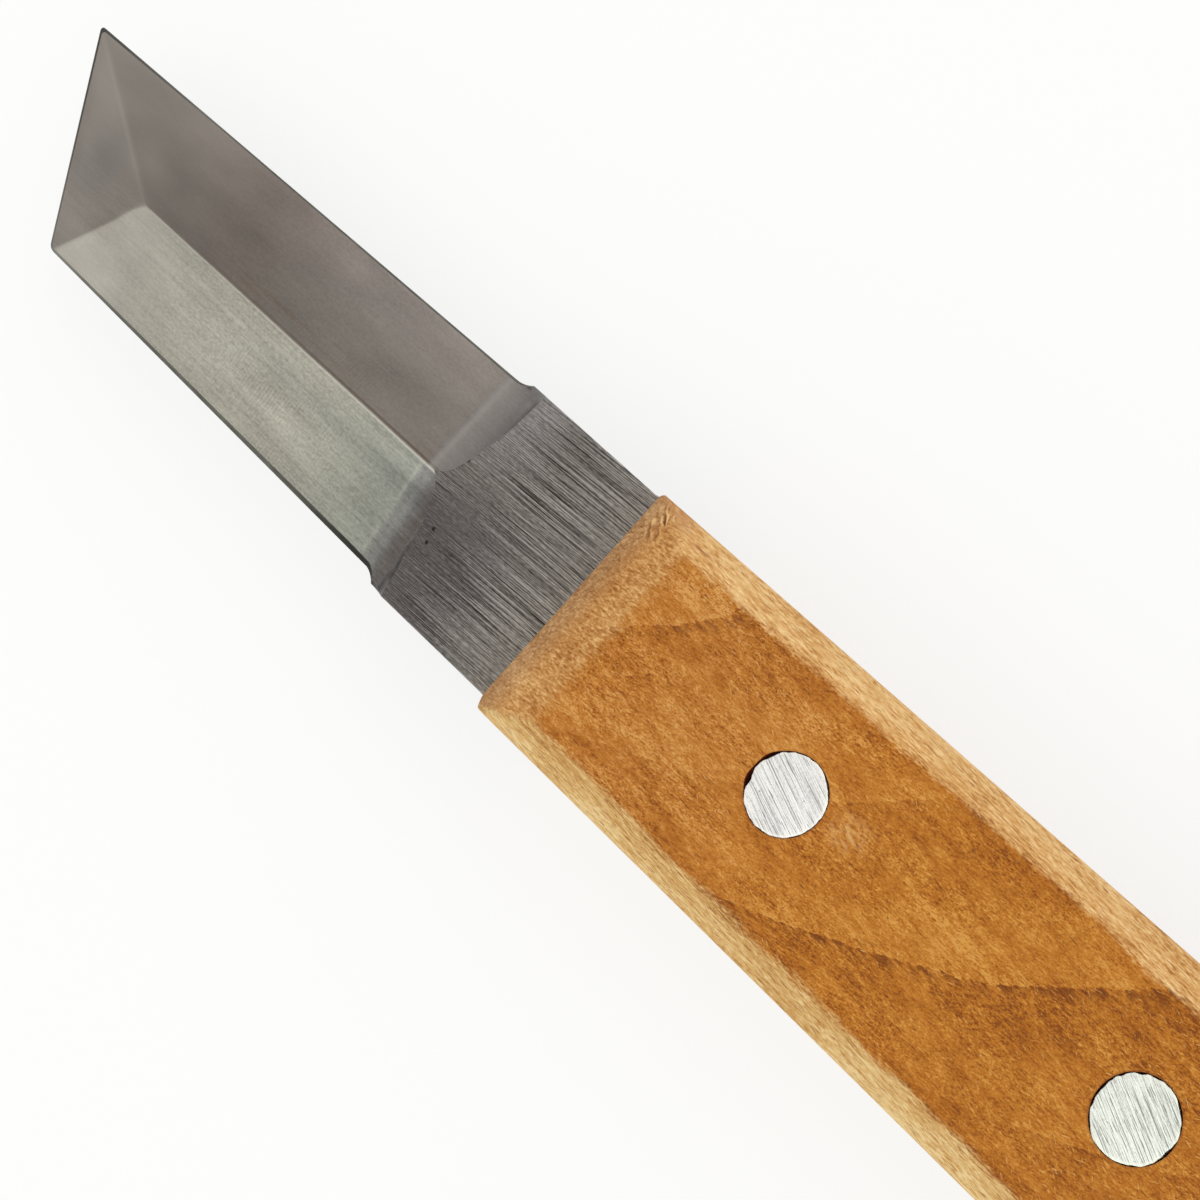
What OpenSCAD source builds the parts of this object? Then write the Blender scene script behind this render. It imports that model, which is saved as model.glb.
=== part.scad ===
// Wood carving knife with a skewed, bevel-ground point and a riveted wooden handle.
// It lies flat on one handle scale: +X points to the tip, the cutting edge faces -Y.

/* [Blade] */
// Length of the blade from the front of the handle to the tip
reach = 67.5; // [60:0.5:80]
// Thickness of the steel
steel_t = 3.5; // [3:0.1:4.5]
// Width of the plain shoulder between the handle and the ground faces
shoulder_w = 19.5; // [19:0.1:20.4]
// Distance from the handle to the heel of the ground faces
heel = 16.5; // [14:0.1:20]
// Distance from the centre line to the cutting edge at the heel
edge_off = 9.3; // [8.6:0.05:9.4]
// Distance from the centre line to the tip
tip_off = 8.2; // [7.5:0.05:9]
// Distance from the centre line to the spine at the heel
spine_off = 8.95; // [8.6:0.05:9.4]
// Distance from the centre line to the end of the spine
corner_off = 8.1; // [7.5:0.05:8.6]
// How far the spine stops short of the tip, which sets the skew of the end edge
skew = 10.7; // [6:0.1:14]
// Length of the ridge from the heel to where the three ground faces meet
ridge_l = 34.6; // [30:0.1:36]
// Height of the ridge above the middle of the steel, where it meets the end face
ridge_end_h = 1.6; // [1.4:0.05:1.65]
// Offset of the ridge towards the cutting edge, at the heel
ridge_heel_off = 0.2; // [-0.5:0.1:0.5]
// Offset of the ridge towards the cutting edge, at the end face
ridge_end_off = -0.1; // [-0.5:0.1:0.5]
// Half of the thickness left along the end edge
end_land = 0.06; // [0.05:0.01:0.15]
// Half of the thickness left along the cutting edge, at the tip
edge_land = 0.08; // [0.05:0.01:0.15]
// Half of the thickness left along the spine, at its end
spine_land = 0.2; // [0.15:0.01:0.3]
// Radius that the grinding wheel leaves at the heel of the ground faces
plunge_r = 5; // [4:0.1:6]
// Radius of the notch in the edge and in the spine, beside the shoulder
notch_r = 3.2; // [2:0.1:4]

/* [Handle] */
// Length of the handle
handle_l = 110; // [100:1:120]
// Width of the handle at the front
front_w = 20.5; // [20.5:0.1:22]
// Width of the handle at the butt
butt_w = 22.4; // [20.5:0.1:26]
// Thickness of each wooden scale
scale_t = 6; // [5:0.1:8]
// Width and depth of the bevel along the handle's long edges
edge_bevel = 2.4; // [1:0.1:3]
// Length of the sloping bevel at the front and at the butt
end_bevel = 6; // [3:0.1:8]
// Depth of the sloping bevel at the front and at the butt
end_drop = 3; // [1:0.1:4]
// Size of the broken corners at the front and at the butt
corner_break = 0.8; // [0.4:0.1:2]

/* [Rivets] */
// Diameter of the rivets
rivet_d = 6; // [4:0.1:8]
// Distance from the front of the handle to the first rivet
rivet_first = 23.4; // [15:0.1:25]
// Distance from one rivet to the next
rivet_pitch = 32; // [25:0.5:35]
// Offset of the rivets towards the cutting edge
rivet_off = 0.5; // [-1:0.1:1]

/* [Hidden] */
$fn = 64;
half_t = steel_t / 2 + scale_t;
front_x = (handle_l - reach) / 2;
taper = atan((butt_w - front_w) / 2 / handle_l);
margin = 1;
tip = [reach, -tip_off];
corner = [reach - skew, corner_off];
ridge_heel = [heel, -ridge_heel_off, steel_t / 2];
ridge_end = [heel + ridge_l, -ridge_end_off, ridge_end_h];
steel_colour = [0.5, 0.49, 0.47];
wood_colour = [0.71, 0.46, 0.2];
rivet_colour = [0.86, 0.87, 0.86];

function unit(v) = v / norm(v);
function upward(v) = v[2] < 0 ? -v : v;
function raise(p, z) = [p[0], p[1], z];

// Moves a piece drawn from the handle's front and the steel's middle plane to where the knife lies
module lay_flat() {
    translate([front_x, 0, half_t]) children();
}

// Section of a ground cut: flat from the heel onwards, with the wheel's radius behind it
module ground_section(r) {
    square([2 * reach, r]);
    translate([0, r]) circle(r);
}

// Solid above the plane through three points, ahead of the first one, with a plunge radius behind it
module face_cut(from, along, to, r) {
    n = unit(upward(cross(along - from, to - from)));
    w = unit(cross([1, 0, 0], n));
    v = cross(n, w);
    multmatrix([
        [v[0], n[0], w[0], from[0]],
        [v[1], n[1], w[1], from[1]],
        [v[2], n[2], w[2], from[2]],
        [0, 0, 0, 1]
    ])
        linear_extrude(height = 4 * shoulder_w, center = true) ground_section(r);
}

// Solid above the plane of the end face, which rises from the end edge to the ridge
module end_face_cut() {
    low = raise(tip, end_land);
    w = unit(raise(corner, end_land) - low);
    n = unit(upward(cross(w, ridge_end - low)));
    v = cross(n, w);
    multmatrix([
        [v[0], n[0], w[0], low[0]],
        [v[1], n[1], w[1], low[1]],
        [v[2], n[2], w[2], low[2]],
        [0, 0, 0, 1]
    ])
        translate([-reach, 0, -reach]) cube([2 * reach, steel_t, 2 * reach]);
}

// Strip ground off one side of the outline, from the notch at the shoulder to the far end
module side_cut(from, to, outward) {
    run = to - from;
    translate(from)
        rotate(atan2(run[1], run[0]))
            mirror([0, outward < 0 ? 1 : 0]) ground_section(notch_r);
}

module blade_outline() {
    end_run = reach * unit(corner - tip);
    difference() {
        translate([-margin, -shoulder_w / 2]) square([reach + 2 * margin, shoulder_w]);
        side_cut([heel, -edge_off], tip, -1);
        side_cut([heel, spine_off], corner, 1);
        polygon([tip - end_run, tip + end_run, tip + end_run + [reach, 0], tip - end_run + [reach, 0]]);
    }
}

// Outline shared by the tang and both scales, with broken corners
module handle_outline() {
    front_y = front_w / 2;
    butt_y = butt_w / 2;
    polygon([
        [0, front_y - corner_break],
        [0, corner_break - front_y],
        [-corner_break, -front_y],
        [corner_break - handle_l, -butt_y],
        [-handle_l, corner_break - butt_y],
        [-handle_l, butt_y - corner_break],
        [corner_break - handle_l, butt_y],
        [-corner_break, front_y]
    ]);
}

module rivet_shape(index) {
    translate([-rivet_first - index * rivet_pitch, -rivet_off, 0])
        cylinder(d = rivet_d, h = 2 * half_t, center = true);
}

module rivet_holes() {
    for (index = [0 : 2]) rivet_shape(index);
}

// Wedge that bevels an outer edge; turn points its local Y axis out of the handle
module bevel_cut(at, turn, run, drop) {
    translate([at[0], at[1], half_t])
        rotate([0, 0, turn]) rotate([90, 0, 90])
            linear_extrude(height = 3 * handle_l, center = true)
                polygon([[-2 * run, drop], [run, -2 * drop], [2 * run, 2 * drop]]);
}

module scale_shape() {
    difference() {
        translate([0, 0, steel_t / 2]) linear_extrude(height = scale_t) handle_outline();
        bevel_cut([0, front_w / 2], -taper, edge_bevel, edge_bevel);
        bevel_cut([0, -front_w / 2], 180 + taper, edge_bevel, edge_bevel);
        bevel_cut([0, 0], -90, end_bevel, end_drop);
        bevel_cut([-handle_l, 0], 90, end_bevel, end_drop);
        rivet_holes();
    }
}

// Steel in one piece: ground point, plain shoulder and a tang as wide as the handle
module blade() {
    color(steel_colour) lay_flat() difference() {
        union() {
            linear_extrude(height = steel_t, center = true) blade_outline();
            linear_extrude(height = steel_t, center = true) handle_outline();
        }
        for (face = [0, 1]) mirror([0, 0, face]) {
            face_cut(ridge_heel, ridge_end, raise(tip, edge_land), plunge_r);
            face_cut(ridge_heel, ridge_end, raise(corner, spine_land), plunge_r);
            end_face_cut();
        }
        rivet_holes();
    }
}

module upper_scale() {
    color(wood_colour) lay_flat() scale_shape();
}

module lower_scale() {
    color(wood_colour) lay_flat() mirror([0, 0, 1]) scale_shape();
}

module front_rivet() {
    color(rivet_colour) lay_flat() rivet_shape(0);
}

module middle_rivet() {
    color(rivet_colour) lay_flat() rivet_shape(1);
}

module rear_rivet() {
    color(rivet_colour) lay_flat() rivet_shape(2);
}

blade();
upper_scale();
lower_scale();
front_rivet();
middle_rivet();
rear_rivet();
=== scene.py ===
"""Looks of a wood carving knife: ground steel blade, bevelled wooden scales and scratched rivets.

Shapes and materials are worked out in millimetres, with x measured from the front of the handle towards the
tip, z from the middle of the steel, and the cutting edge at negative y. Meshes are moved from there to where
the solids lie.
"""

import math

import bmesh
import bpy
import numpy as np
from mathutils import Matrix, Vector, noise


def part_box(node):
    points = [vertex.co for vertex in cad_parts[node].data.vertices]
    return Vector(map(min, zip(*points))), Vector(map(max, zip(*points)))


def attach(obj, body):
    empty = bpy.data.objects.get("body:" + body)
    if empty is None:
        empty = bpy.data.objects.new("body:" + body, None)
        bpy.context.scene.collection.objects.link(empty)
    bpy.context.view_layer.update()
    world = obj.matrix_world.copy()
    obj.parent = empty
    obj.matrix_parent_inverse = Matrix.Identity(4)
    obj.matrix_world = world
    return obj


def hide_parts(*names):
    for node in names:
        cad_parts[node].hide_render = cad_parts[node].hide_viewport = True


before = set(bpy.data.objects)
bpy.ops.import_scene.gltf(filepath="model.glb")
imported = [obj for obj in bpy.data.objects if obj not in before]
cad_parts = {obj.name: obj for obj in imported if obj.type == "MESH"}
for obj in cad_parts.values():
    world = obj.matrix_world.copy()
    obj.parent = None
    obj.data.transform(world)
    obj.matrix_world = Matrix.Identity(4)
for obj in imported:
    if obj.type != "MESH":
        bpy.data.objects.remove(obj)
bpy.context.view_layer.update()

MM = 0.001

# Edges that bend by more degrees than this are shaded sharp
STEEL_SHARP = 14
WOOD_SHARP = 24
RIVET_SHARP = 30


def box_mm(node):
    """Lowest and highest corner of a solid, in millimetres."""
    return [np.array(corner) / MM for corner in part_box(node)]


# Sizes that the solids give
blade_low, blade_high = box_mm("blade")
scale_low, scale_high = box_mm("upper_scale")
FRONT_X = scale_high[0]
MIDDLE_Z = (blade_low[2] + blade_high[2]) / 2
REACH = blade_high[0] - FRONT_X
HANDLE_L = scale_high[0] - scale_low[0]
HALF_STEEL = (blade_high[2] - blade_low[2]) / 2
HALF_T = scale_high[2] - MIDDLE_Z
BUTT_HALF = scale_high[1]
HOME = np.array([FRONT_X, 0, MIDDLE_Z])

# Blade: the shoulder and the heel, whose line has waves given as height, rate and start; the point's corners
# in the plan; the lands where its faces end; radii; and how softly its faces meet
EDGE, SPINE = -1, 1
SHOULDER_HALF = {EDGE: 9.8, SPINE: 9.6}
SHOULDER_BREAK = 0.1
HEEL = 16.5
HEEL_SLANT = {EDGE: 0.08, SPINE: 0.045}
HEEL_WAVES = [(0.05, 1.3, 0), (0.03, 3.1, 1)]
EDGE_OFF = 9.3
SPINE_OFF = 8.83
TIP = np.array([REACH + 0.07, -8.2])
CORNER = np.array([REACH - 10.62, 8.1])
RIDGE_HEEL = np.array([HEEL, -0.1, HALF_STEEL])
RIDGE_END = np.array([HEEL + 35.0, 0.1, 1.6])
END_LAND = 0.06
CORNER_LAND = 0.15
EDGE_LAND = 0.08
SPINE_LAND = 0.2
EDGE_PLUNGE_R = 5.4
SPINE_PLUNGE_R = 4.2
PLUNGE_REACH = 0.98
NOTCH_R = 2.2
NOTCH_AT = {EDGE: 17.0, SPINE: 16.5}
TIP_ROUND = 0.25
CORNER_ROUND = 1.0
RIDGE_SWELL = 0.035
SWELL_AT = RIDGE_END[:2] + [1.0, 1.1]
SWELL_SPREAD = 1.4
OUTLINE_Z = 0.04
OUTLINE_FROM = 15.5
RIDGE_RUN = (RIDGE_END[1] - RIDGE_HEEL[1]) / (RIDGE_END[0] - RIDGE_HEEL[0])
RIDGE_BLEND = 0.045
END_BLEND = {EDGE: 0.07, SPINE: 0.025}
RIM_BLEND = 0.012
CROSS_PITCH = 0.33
PITS = [(13.1, 3.2), (12.8, 4.3), (14.7, -2.4)]

# Wooden scales: bevels, corners broken by a run and a drop, rounded edges, unevenness and crushed fibres
FRONT_HALF = 10.25
EDGE_BEVEL = 2.4
END_BEVEL = 6.0
END_DROP = 3.0
BUTT_BREAK = 0.8
FRONT_BREAK = {EDGE: (0.42, 0.33), SPINE: (0.6, 1.05)}
SIDE_ROUND = 0.22
END_ROUND = 0.45
SIDE_BLEND = 0.1
END_BEVEL_BLEND = 0.5
FRONT_SHY = 0.1
FLAT_WAVE = 0.03
SIDE_WANDER = 0.2
SIDE_RAGGED = 0.1
END_WANDER = 0.3
SPLINTER_AT = np.array([-2.1, -8.6])
SPLINTER_RUN = np.array([0.68, 0.73])
SPLINTER_PITCH = 0.6
SPLINTER_REACH = 1.4
SPLINTER_DEPTH = 0.1
SPLINTER_FADE = 0.3

# Rivets: chips in each rim, and dents in the wood around it, as angle, width and depth
RIVETS = ["front_rivet", "middle_rivet", "rear_rivet"]
RIM_CHIPS = [
    [(17, 11, 0.18), (-22, 12, 0.13), (-62, 4, 0.05), (165, 5, 0.04), (-125, 14, 0.05)],
    [(4, 18, 0.14), (-56, 7, 0.12), (-34, 6, 0.07), (-122, 15, 0.12), (178, 15, 0.13), (50, 12, 0.09)],
    [(80, 9, 0.08), (-110, 7, 0.07)],
]
HOLE_DENTS = [
    [(16, 16, 0.16), (-22, 16, 0.14), (-150, 40, 0.05)],
    [(150, 40, 0.03), (-100, 30, 0.02)],
    [(30, 25, 0.08)],
]
STEEL_GAP = 0.02
WOOD_GAP = 0.03
RIVET_PROUD = 0.02
RIM_SHY = 0.02
RIM_ROUGH = 0.08
HOLE_ROUGH = 0.02
FILE_TURN = [-21, -26, -24]
FILE_BITE = [0.13, 0.1, 0.11]
RIVET_TINT = [(1.04, 1.035, 1.035, 1), (1, 1.04, 0.98, 1), (1, 1, 0.98, 1)]

# Growth rings: distance between them along the handle, place of one of them, how they cross the handle, the
# line beyond which they bow towards the tip, and the line beyond which the one at the front turns steeper
RING_PITCH = 18.7
RING_AT = -41.9
RING_SLOPE = 0.85
RING_BOW = 0.078
RING_STRAIGHT = -2.5
RING_STEEP = -4.0
RING_BEND = 0.14

# Floor, a little below the rivet ends
FLOOR_GAP = 0.03

# Camera, in the frame of the solids
CAMERA_AT = Vector((-65.97, -10.31, 210.76))
CAMERA_AIM = Vector((21.11, -1.29, 7.75))
CAMERA_TWIST = math.radians(-53.67)
CAMERA_LENS = 90.0


def lerp(a, b, share):
    return a + (b - a) * share


def unit(vector):
    return vector / np.linalg.norm(vector)


def soft_min(a, b, blend):
    """Smaller of two heights, with the crease between them rounded over a height of blend."""
    share = np.clip(1 - np.abs(a - b) / blend, 0, 1)
    return np.minimum(a, b) - share * share * blend / 4


def uneven(x, y=0.0, seed=0.0):
    """Smooth noise from about -1 to 1 that is the same in each run."""
    return noise.noise(Vector((x, y, seed)))


# Meshes


def shade(mesh, sharp_angle):
    """Shades a mesh smooth, except across edges that bend more than an angle."""
    work = bmesh.new()
    work.from_mesh(mesh)
    for face in work.faces:
        face.smooth = True
    for edge in work.edges:
        edge.smooth = edge.calc_face_angle(0) < math.radians(sharp_angle)
    work.to_mesh(mesh)
    work.free()


class Shell:
    """Points and tagged faces of a closed mesh, gathered from grids."""

    def __init__(self):
        self.points, self.faces, self.tags = [], [], []

    def add_grid(self, grid, tag=0):
        """Adds rows of points as faces; tag is a number, or gives one for each row and column."""
        rows, columns, _ = grid.shape
        first = len(self.points)
        self.points.extend(grid.reshape(-1, 3))
        for row in range(rows - 1):
            for column in range(columns - 1):
                corner = first + row * columns + column
                self.faces.append((corner, corner + 1, corner + columns + 1, corner + columns))
                self.tags.append(tag(row, column) if callable(tag) else tag)

    def make(self, name, materials, sharp_angle):
        """Mesh object, with doubled points joined."""
        placed = (np.array(self.points) + HOME) * MM
        mesh = bpy.data.meshes.new(name)
        mesh.from_pydata([tuple(point) for point in placed], [], self.faces)
        for face, tag in zip(mesh.polygons, self.tags):
            face.material_index = tag
        work = bmesh.new()
        work.from_mesh(mesh)
        bmesh.ops.remove_doubles(work, verts=work.verts, dist=0.001 * MM)
        bmesh.ops.dissolve_degenerate(work, edges=work.edges, dist=0.0005 * MM)
        bmesh.ops.recalc_face_normals(work, faces=work.faces)
        work.to_mesh(mesh)
        work.free()
        shade(mesh, sharp_angle)
        for material in materials:
            mesh.materials.append(material)
        piece = bpy.data.objects.new(name, mesh)
        bpy.context.scene.collection.objects.link(piece)
        return piece


# Blade


def plane_height(p, q, r):
    """Height over the plan of the plane through three points."""
    normal = np.cross(np.array(q) - p, np.array(r) - p)
    return lambda x, y: p[2] - (normal[0] * (x - p[0]) + normal[1] * (y - p[1])) / normal[2]


edge_face = plane_height(RIDGE_HEEL, RIDGE_END, [*TIP, EDGE_LAND])
spine_face = plane_height(RIDGE_HEEL, RIDGE_END, [*CORNER, SPINE_LAND])
end_face = plane_height(RIDGE_END, [*TIP, END_LAND], [*CORNER, CORNER_LAND])


def heel_x(y):
    """Where the ground faces start to curve up to the shoulder: a line that runs askew and unevenly."""
    slant = np.where(y < 0, HEEL_SLANT[EDGE], HEEL_SLANT[SPINE])
    waves = sum(height * np.sin(rate * y + start) for height, rate, start in HEEL_WAVES)
    return HEEL - slant * y + waves


def plunged(face, x, y, radius):
    """A ground face that curves up behind the heel with the wheel's radius."""
    behind = np.clip(heel_x(y) - x, 0, PLUNGE_REACH * radius)
    return face(x, y) + radius - np.sqrt(radius**2 - behind**2)


def steel_top(x, y):
    """Height of the blade's upper surface over the plan."""
    edge = plunged(edge_face, x, y, EDGE_PLUNGE_R)
    spine = plunged(spine_face, x, y, SPINE_PLUNGE_R)
    off_swell = (x - SWELL_AT[0]) ** 2 + (y - SWELL_AT[1]) ** 2
    end = end_face(x, y) + RIDGE_SWELL * np.exp(-off_swell / SWELL_SPREAD)
    end_blend = np.interp(y, [-0.5, 0.5], [END_BLEND[EDGE], END_BLEND[SPINE]])
    point = soft_min(soft_min(edge, spine, RIDGE_BLEND), end, end_blend)
    return soft_min(point, HALF_STEEL, RIM_BLEND)


def rim_x(y, face, radius):
    """Where the curve behind the heel reaches the flat of the shoulder, found in a few rounds."""
    x = heel_x(y)
    for _ in range(8):
        rise = np.clip(HALF_STEEL - face(x, y), 0, radius)
        x = heel_x(y) - np.sqrt(radius**2 - (radius - rise) ** 2)
    return x


def handle_half(x, side):
    """Half width of the tang and of the scales on one side, with the corners broken at both ends."""
    run, drop = FRONT_BREAK[side]
    at = [-HANDLE_L, BUTT_BREAK - HANDLE_L, -run, 0]
    return float(np.interp(x, at, [BUTT_HALF - BUTT_BREAK, BUTT_HALF, FRONT_HALF, FRONT_HALF - drop]))


def blade_half(x, side):
    """Half width of the blade on one side: straight edge, notch beside the shoulder, and tang."""
    if x < 0:
        return max(SHOULDER_HALF[side], handle_half(x, side))
    start_off, end = (EDGE_OFF, TIP) if side == EDGE else (SPINE_OFF, CORNER)
    straight = lerp(start_off, abs(end[1]), (x - HEEL) / (end[0] - HEEL))
    behind = np.clip(NOTCH_AT[side] - x, 0, NOTCH_R)
    return min(straight + NOTCH_R - math.sqrt(NOTCH_R**2 - behind**2), SHOULDER_HALF[side])


def round_corner(point, corner, along_a, along_b, radius):
    """Moves a point of the outline onto the arc that rounds a corner, if it lies beyond it."""
    middle = unit(along_a + along_b)
    half = math.acos(np.dot(along_a, middle))
    centre = corner + middle * radius / math.sin(half)
    if np.dot(point - corner, middle) > radius * math.cos(half) / math.tan(half):
        return point
    return centre + unit(point - centre) * radius


def rounded(point):
    """Outline point with the tip and the end of the spine rounded."""
    edge_back = unit(np.array([HEEL, -EDGE_OFF]) - TIP)
    spine_back = unit(np.array([HEEL, SPINE_OFF]) - CORNER)
    end_run = unit(CORNER - TIP)
    point = round_corner(point, TIP, edge_back, end_run, TIP_ROUND)
    return round_corner(point, CORNER, spine_back, -end_run, CORNER_ROUND)


# Rows of the blade's mesh from the outline to the middle, and places of its columns
ROWS = 17
SHOULDER_BACK = -0.3
FRONT_BREAKS = [-FRONT_BREAK[SPINE][0], -FRONT_BREAK[EDGE][0]]
TANG_STEPS = np.linspace(-100, -5, 20)
TANG_X = [-HANDLE_L, BUTT_BREAK - HANDLE_L, *TANG_STEPS, *FRONT_BREAKS, SHOULDER_BACK]
SHOULDER_SHARE = [*np.linspace(0, 0.9, 8)[1:], 0.96, 0.985, 0.995, 1.0]
PLUNGE_SHARE = [0.01, 0.03, 0.07, *np.linspace(0.13, 1.0, 13)]
FACE_SHARE = [*np.linspace(0, 0.94, 16)[1:], 0.965, 0.98, 0.988, 0.993, 0.996, 0.998, 1.0]
END_SHARE = [0, 0.004, 0.01, 0.02, 0.035, 0.06, 0.1]

# Places of the blade's materials
STEEL_GROUND, STEEL_BRUSHED, STEEL_DARK = 0, 1, 2


def bevel_width(x, side):
    """Width of the fine bevel along the outline, at marks along the blade and between them."""
    marks = [0, 13, 15, 17, 21, 50, REACH]
    edge_widths = [0.07, 0.07, 0.2, 0.2, 0.17, 0.22, 0.5]
    spine_widths = [0.1, 0.1, 0.3, 0.45, 0.4, 0.3, 0.22]
    return float(np.interp(x, marks, edge_widths if side == EDGE else spine_widths))


def bevel_drop(x):
    """How far the broken edge of the shoulder lies below the flat."""
    return np.interp(x, [0, 13, 15], [SHOULDER_BREAK, SHOULDER_BREAK, 3 * SHOULDER_BREAK])


def column(outline, centre, bevel):
    """Plan points from the outline to the middle of the blade, closer together near the middle."""
    first = bevel / np.linalg.norm(np.subtract(outline, centre))
    back = np.linspace(1, 0, ROWS - 1)
    share = np.concatenate([[0], lerp(first, 1, 1 - back**2)])
    return lerp(np.array(outline)[None], np.array(centre)[None], share[:, None])


def side_plan(side):
    """Plan of one side of the blade, as columns from the butt to the point, and how many are brushed."""
    face, radius, end = (
        (edge_face, EDGE_PLUNGE_R, TIP) if side == EDGE else (spine_face, SPINE_PLUNGE_R, CORNER)
    )
    centre_y = RIDGE_HEEL[1]

    def across(x):
        return column((x, side * blade_half(x, side)), (x, centre_y), bevel_width(x, side))

    columns = [across(x) for x in TANG_X]
    flat_y = across(HEEL / 2)[:, 1]
    rim, heel = rim_x(flat_y, face, radius), heel_x(flat_y)
    rim[-1] = heel[-1] = HEEL
    columns += [np.stack([lerp(SHOULDER_BACK, rim, share), flat_y], 1) for share in SHOULDER_SHARE]
    brushed = len(columns)
    for share in PLUNGE_SHARE:
        x = lerp(rim, heel, share)
        columns.append(np.stack([x, across(x[0])[:, 1]], 1))
    start = columns[-1][0]
    for share in FACE_SHARE:
        outline = rounded(lerp(start, end, share))
        centre = lerp(RIDGE_HEEL[:2], RIDGE_END[:2], share)
        columns.append(column(outline, centre, bevel_width(outline[0], side)))
    return np.array(columns), brushed


def end_plan(first, last):
    """Plan of the end face: columns from the end edge to the ridge, fanning from the tip to the spine."""
    def spacing(points):
        reach = np.linalg.norm(points - points[0], axis=1)
        return reach / reach[-1]

    shares = [*END_SHARE, *np.linspace(0.15, 0.85, 8), *(1 - np.array(END_SHARE[::-1]))]
    columns = []
    for share in shares:
        outline = rounded(lerp(TIP, CORNER, share))
        inward = lerp(spacing(first), spacing(last), share)[:, None]
        columns.append(lerp(outline[None], RIDGE_END[None, :2], inward))
    return np.array(columns)


def raised(plan):
    """Points over a plan: the steel's surface, with its outline lower to leave a fine bevel."""
    z = steel_top(plan[..., 0], plan[..., 1])
    outline_x, outline_z = plan[:, 0, 0], z[:, 0]
    broken = np.maximum(outline_z - bevel_drop(outline_x), OUTLINE_Z)
    z[:, 0] = np.where(outline_x > OUTLINE_FROM, OUTLINE_Z, broken)
    return np.concatenate([plan, z[..., None]], 2)


def make_blade():
    """Blade as a closed shell: both sides and the end, mirrored below, and the wall along the outline."""
    edge_plan, edge_brushed = side_plan(EDGE)
    spine_plan, spine_brushed = side_plan(SPINE)
    edge, spine = raised(edge_plan), raised(spine_plan)
    end = raised(end_plan(edge_plan[-1], spine_plan[-1]))
    end[0], end[-1] = edge[-1], spine[-1]

    def finish_tags(brushed):
        def tag(index, row):
            if row == 0:
                return STEEL_DARK if index >= brushed else STEEL_BRUSHED
            return STEEL_BRUSHED if index < brushed - 1 else STEEL_GROUND
        return tag

    shell = Shell()
    mirror = np.array([1, 1, -1])
    for grid, brushed in ((edge, edge_brushed), (spine, spine_brushed), (end, 0)):
        shell.add_grid(grid, finish_tags(brushed))
        shell.add_grid(grid * mirror, finish_tags(brushed))
    outline = np.concatenate([edge[:, 0], end[1:-1, 0], spine[::-1, 0]])
    butt = np.concatenate([spine[0], edge[0, ::-1]])
    for loop in (outline, butt):
        def tag(_, index, loop=loop):
            return STEEL_BRUSHED if loop[index][0] < 0 else STEEL_DARK
        shell.add_grid(np.stack([loop, loop * mirror]), tag)
    return shell.make("blade_steel", [ground_steel(), brushed_steel(), dark_steel()], STEEL_SHARP)


# Wooden scales


def rounded_drop(distance, radius):
    """How far a rounded edge falls below the surface at a distance from the outline."""
    return radius - math.sqrt(radius**2 - max(radius - distance, 0) ** 2)


def splinters(x, y, seed):
    """Wrinkles where the fibres at a front corner were crushed."""
    near = math.exp(-np.sum((np.array([x, y]) - SPLINTER_AT) ** 2) / SPLINTER_REACH**2)
    along = SPLINTER_RUN @ [x, y] + 0.25 * uneven(x / 1.1, y / 1.1, seed)
    wrinkle = math.sin(2 * math.pi * along / SPLINTER_PITCH)
    return near * SPLINTER_DEPTH * (wrinkle + uneven(x / 0.5, y / 0.5, seed))


def scale_top(x, y, to_edge, to_spine, seed):
    """Height of a scale's outer surface, with soft bevels at its ends and crisp ones along it."""
    z = HALF_T + FLAT_WAVE * uneven(x / 12, y / 8, seed)
    for distance, side_seed in ((to_edge, seed), (to_spine, seed + 40)):
        width = EDGE_BEVEL + SIDE_WANDER * uneven(x / 8, 0, side_seed)
        width += SIDE_RAGGED * uneven(x / 1.6, 5, side_seed)
        z = soft_min(z, HALF_T - EDGE_BEVEL * (1 - distance / width), SIDE_BLEND)
    run = END_BEVEL + END_WANDER * uneven(y / 4, 0, seed + 80)
    to_end = min(-x, x + HANDLE_L)
    z = soft_min(z, HALF_T - END_DROP * (1 - to_end / run), END_BEVEL_BLEND)
    z -= rounded_drop(min(to_edge, to_spine), SIDE_ROUND) + rounded_drop(to_end, END_ROUND)
    return float(z) + splinters(x, y, seed) * min(1, min(to_edge, -x) / SPLINTER_FADE)


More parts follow.
